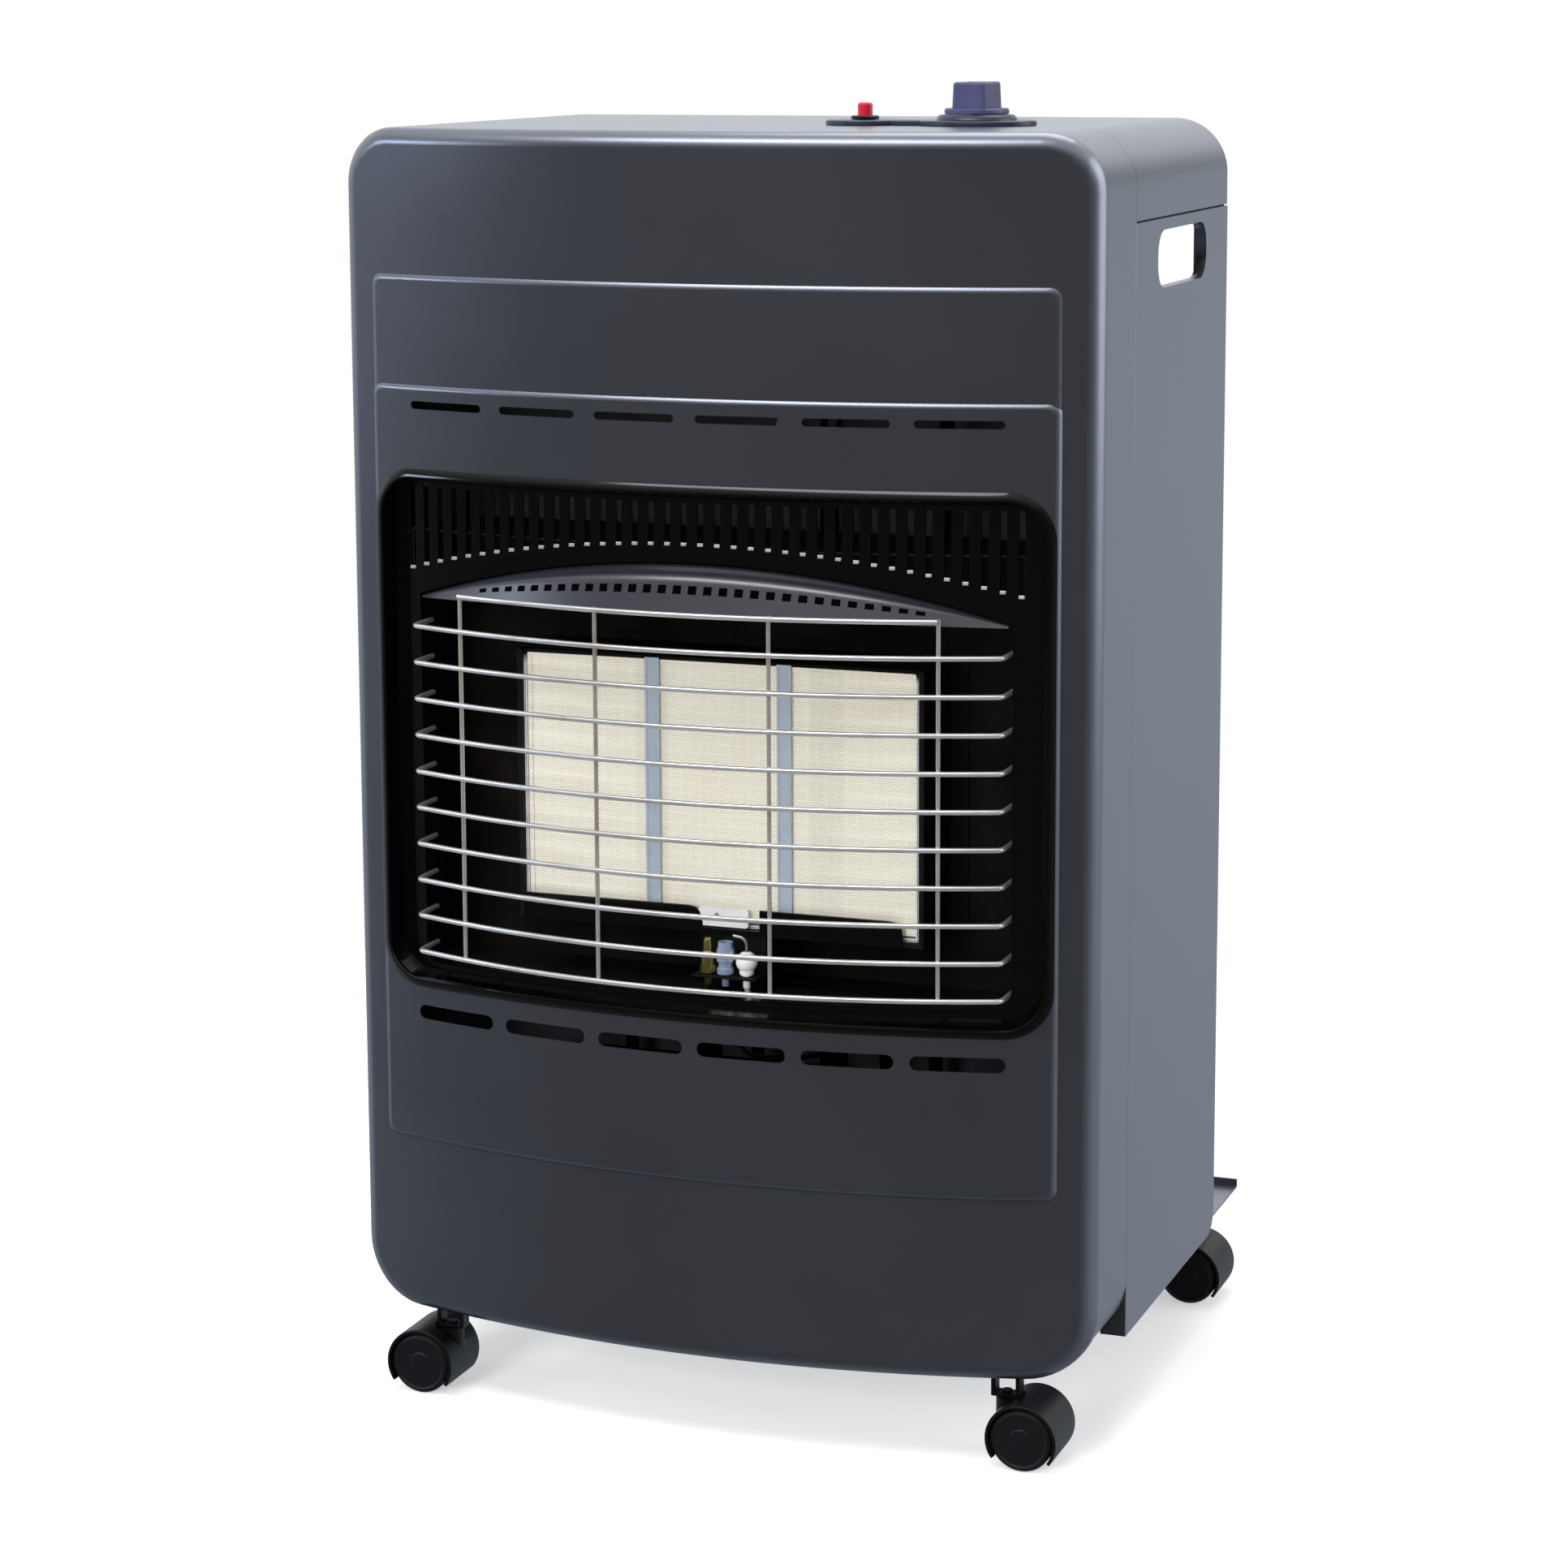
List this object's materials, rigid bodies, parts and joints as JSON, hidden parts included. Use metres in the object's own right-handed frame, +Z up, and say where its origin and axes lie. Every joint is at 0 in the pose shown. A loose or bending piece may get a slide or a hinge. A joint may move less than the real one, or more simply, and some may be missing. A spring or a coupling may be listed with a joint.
{
  "type": "portable gas cabinet heater",
  "caption": "Portable gas cabinet heater with a bowed sheet-steel body, ceramic infrared burners behind a wire guard, top controls, an open-backed bottle bay and hooded casters.",
  "frame": {"origin": "on the floor under the casters, in the middle of the bounding box", "axes": "+X to the right of a person who faces the heater, -Y towards that person, +Z up"},
  "size_m": [0.42, 0.3884, 0.7198],
  "materials": {
    "body_paint": "satin slate-grey metallic powder paint",
    "gloss_black": "gloss black heat-proof enamel",
    "dark_steel": "heat-darkened sheet steel",
    "guard_chrome": "bright plated wire",
    "burner_steel": "plain aluminised steel",
    "ceramic": "matt porous ceramic",
    "white_ceramic": "smooth white insulator",
    "galvanised_steel": "bright zinc-plated steel",
    "brass": "machined brass",
    "copper": "drawn copper",
    "lead_sleeve": "silicone sleeve",
    "control_plate": "dark blue-grey moulding",
    "knob_plastic": "satin blue-grey moulding",
    "black_plastic": "satin black moulding",
    "red_plastic": "red moulding",
    "wheel_plastic": "satin black tread"
  },
  "bodies": {
    "cabinet": {"base_pan": "body_paint", "burner_bracket": "burner_steel", "burner_housing_centre": "burner_steel", "burner_housing_left": "burner_steel", "burner_housing_right": "burner_steel", "caster_strap_front_left": "galvanised_steel", "caster_strap_front_right": "galvanised_steel", "caster_strap_rear_left": "galvanised_steel", "caster_strap_rear_right": "galvanised_steel", "ceramic_plaque_centre": "ceramic", "ceramic_plaque_left": "ceramic", "ceramic_plaque_right": "ceramic", "control_plate": "control_plate", "feed_pipe": "copper", "fireguard": "guard_chrome", "flame_shield": "gloss_black", "front_panel": "body_paint", "gas_manifold": "brass", "gas_valve": "brass", "guard_frame_left": "guard_chrome", "guard_frame_right": "guard_chrome", "heat_shield": "galvanised_steel", "hose_nozzle": "brass", "ignition_electrode": "white_ceramic", "ignition_lead": "lead_sleeve", "piezo_igniter": "black_plastic", "pilot_bracket": "galvanised_steel", "pilot_burner": "galvanised_steel", "pilot_pipe": "copper", "reflector_box": "dark_steel", "side_panel_left": "body_paint", "side_panel_right": "body_paint", "thermocouple": "brass", "thermocouple_lead": "copper", "top_cap": "body_paint", "visor_hood": "gloss_black", "window_surround": "gloss_black"},
    "caster_front_left": {"caster_fork_front_left": "black_plastic", "caster_axle_front_left": "burner_steel"},
    "wheel_front_left_a": {"caster_wheel_front_left_a": "wheel_plastic"},
    "wheel_front_left_b": {"caster_wheel_front_left_b": "wheel_plastic"},
    "caster_front_right": {"caster_fork_front_right": "black_plastic", "caster_axle_front_right": "burner_steel"},
    "wheel_front_right_a": {"caster_wheel_front_right_a": "wheel_plastic"},
    "wheel_front_right_b": {"caster_wheel_front_right_b": "wheel_plastic"},
    "caster_rear_left": {"caster_fork_rear_left": "black_plastic", "caster_axle_rear_left": "burner_steel"},
    "wheel_rear_left_a": {"caster_wheel_rear_left_a": "wheel_plastic"},
    "wheel_rear_left_b": {"caster_wheel_rear_left_b": "wheel_plastic"},
    "caster_rear_right": {"caster_fork_rear_right": "black_plastic", "caster_axle_rear_right": "burner_steel"},
    "wheel_rear_right_a": {"caster_wheel_rear_right_a": "wheel_plastic"},
    "wheel_rear_right_b": {"caster_wheel_rear_right_b": "wheel_plastic"},
    "valve_spindle": {"valve_spindle": "brass"},
    "control_knob": {"control_knob": "knob_plastic"},
    "igniter_button": {"igniter_button": "red_plastic"}
  },
  "joints": [
    {"name": "swivel_front_left", "type": "hinge", "parent": "cabinet", "child": "caster_front_left", "pos_m": [-0.161, -0.1348, 0.03], "axis": [0, 0, 1], "continuous": true},
    {"name": "roll_front_left_a", "type": "hinge", "parent": "caster_front_left", "child": "wheel_front_left_a", "pos_m": [-0.1735, -0.1348, 0.017], "axis": [0, 1, 0], "continuous": true},
    {"name": "roll_front_left_b", "type": "hinge", "parent": "caster_front_left", "child": "wheel_front_left_b", "pos_m": [-0.1735, -0.1348, 0.017], "axis": [0, 1, 0], "continuous": true},
    {"name": "swivel_front_right", "type": "hinge", "parent": "cabinet", "child": "caster_front_right", "pos_m": [0.161, -0.1348, 0.03], "axis": [0, 0, 1], "continuous": true},
    {"name": "roll_front_right_a", "type": "hinge", "parent": "caster_front_right", "child": "wheel_front_right_a", "pos_m": [0.1735, -0.1348, 0.017], "axis": [0, 1, 0], "continuous": true},
    {"name": "roll_front_right_b", "type": "hinge", "parent": "caster_front_right", "child": "wheel_front_right_b", "pos_m": [0.1735, -0.1348, 0.017], "axis": [0, 1, 0], "continuous": true},
    {"name": "swivel_rear_left", "type": "hinge", "parent": "cabinet", "child": "caster_rear_left", "pos_m": [-0.1775, 0.1522, 0.03], "axis": [0, 0, 1], "continuous": true},
    {"name": "roll_rear_left_a", "type": "hinge", "parent": "caster_rear_left", "child": "wheel_rear_left_a", "pos_m": [-0.19, 0.1522, 0.017], "axis": [0, 1, 0], "continuous": true},
    {"name": "roll_rear_left_b", "type": "hinge", "parent": "caster_rear_left", "child": "wheel_rear_left_b", "pos_m": [-0.19, 0.1522, 0.017], "axis": [0, 1, 0], "continuous": true},
    {"name": "swivel_rear_right", "type": "hinge", "parent": "cabinet", "child": "caster_rear_right", "pos_m": [0.1775, 0.1522, 0.03], "axis": [0, 0, 1], "continuous": true},
    {"name": "roll_rear_right_a", "type": "hinge", "parent": "caster_rear_right", "child": "wheel_rear_right_a", "pos_m": [0.19, 0.1522, 0.017], "axis": [0, 1, 0], "continuous": true},
    {"name": "roll_rear_right_b", "type": "hinge", "parent": "caster_rear_right", "child": "wheel_rear_right_b", "pos_m": [0.19, 0.1522, 0.017], "axis": [0, 1, 0], "continuous": true},
    {"name": "valve_turn", "type": "hinge", "parent": "cabinet", "child": "valve_spindle", "pos_m": [0.115, -0.0508, 0.7], "axis": [0, 0, 1], "range_deg": [0, 270]},
    {"name": "knob_press", "type": "slide", "parent": "valve_spindle", "child": "control_knob", "axis": [0, 0, -1], "range_m": [0, 0.003], "stiffness_N_per_m": 1500},
    {"name": "button_press", "type": "slide", "parent": "cabinet", "child": "igniter_button", "axis": [0, 0, -1], "range_m": [0, 0.005], "stiffness_N_per_m": 1200}
  ]
}
